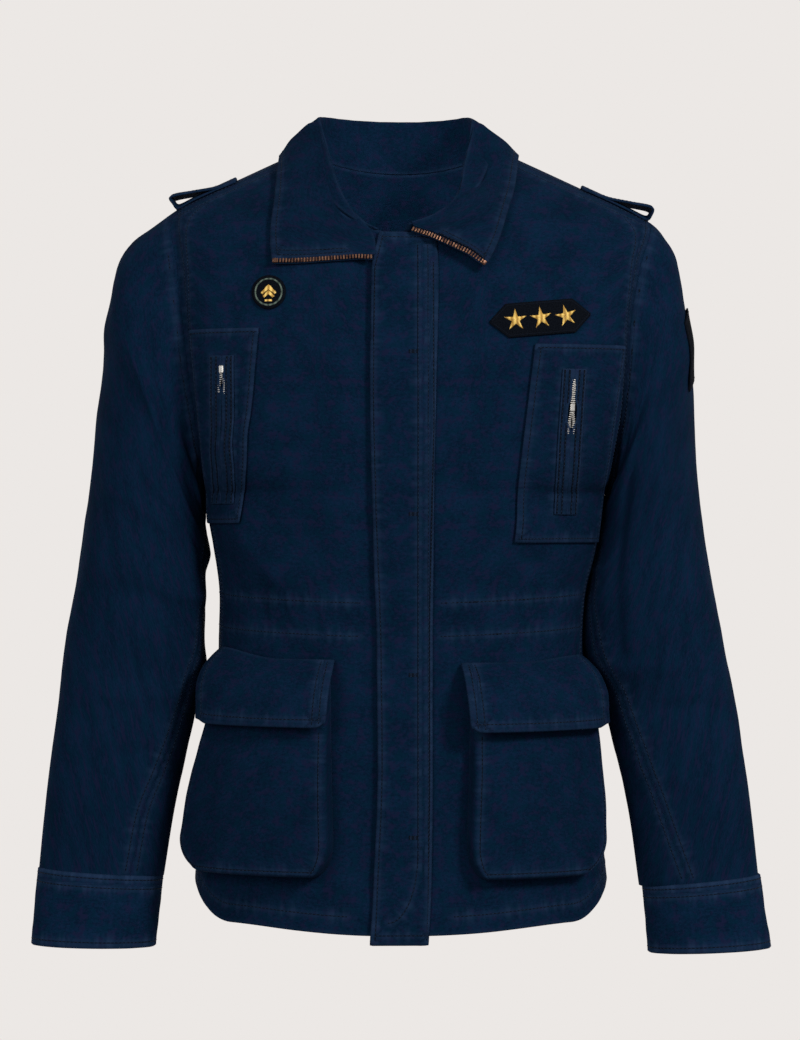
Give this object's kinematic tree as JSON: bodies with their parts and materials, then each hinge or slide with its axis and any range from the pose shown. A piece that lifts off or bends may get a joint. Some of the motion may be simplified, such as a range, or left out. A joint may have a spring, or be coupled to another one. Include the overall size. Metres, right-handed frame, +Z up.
{
  "type": "safari jacket",
  "caption": "Worn-look safari jacket, filled out with no wearer: open collar with zip edge, covered front, bellows pockets with flaps, slanted zipped chest pockets and open sleeves.",
  "frame": {"origin": "middle of the neck, level with the line where the shoulders carry the jacket", "axes": "+Z up from the hem to the neck, -Y towards the front, +X towards the wearer's left"},
  "size_m": [0.662, 0.251, 0.7511],
  "materials": {
    "navy_twill": "matte garment-dyed cotton and linen twill",
    "navy_twill_dark": "matte garment-dyed cotton and linen twill, a shade darker",
    "brass_zip": "dulled coppery teeth",
    "steel_zip": "dull silver teeth",
    "black_felt": "matte felt",
    "gold_thread": "satin embroidery"
  },
  "bodies": {
    "root": {"front_right": "navy_twill", "front_left": "navy_twill", "back": "navy_twill", "sleeve_right": "navy_twill", "sleeve_left": "navy_twill", "collar": "navy_twill", "fly": "navy_twill", "pocket_flap_right": "navy_twill", "pocket_flap_left": "navy_twill", "chest_welt_right": "navy_twill", "chest_welt_left": "navy_twill", "shoulder_loop_right": "navy_twill", "shoulder_loop_left": "navy_twill", "cuff_right": "navy_twill_dark", "cuff_left": "navy_twill_dark", "chest_pocket_right": "navy_twill_dark", "chest_pocket_left": "navy_twill_dark", "pocket_bag_right": "navy_twill_dark", "pocket_bag_left": "navy_twill_dark", "collar_zip_right": "brass_zip", "collar_zip_left": "brass_zip", "chest_zip_right": "steel_zip", "chest_zip_left": "steel_zip", "badge": "black_felt", "star_patch": "black_felt", "sleeve_patch": "black_felt", "star_1": "gold_thread", "star_2": "gold_thread", "star_3": "gold_thread"}
  },
  "joints": []
}
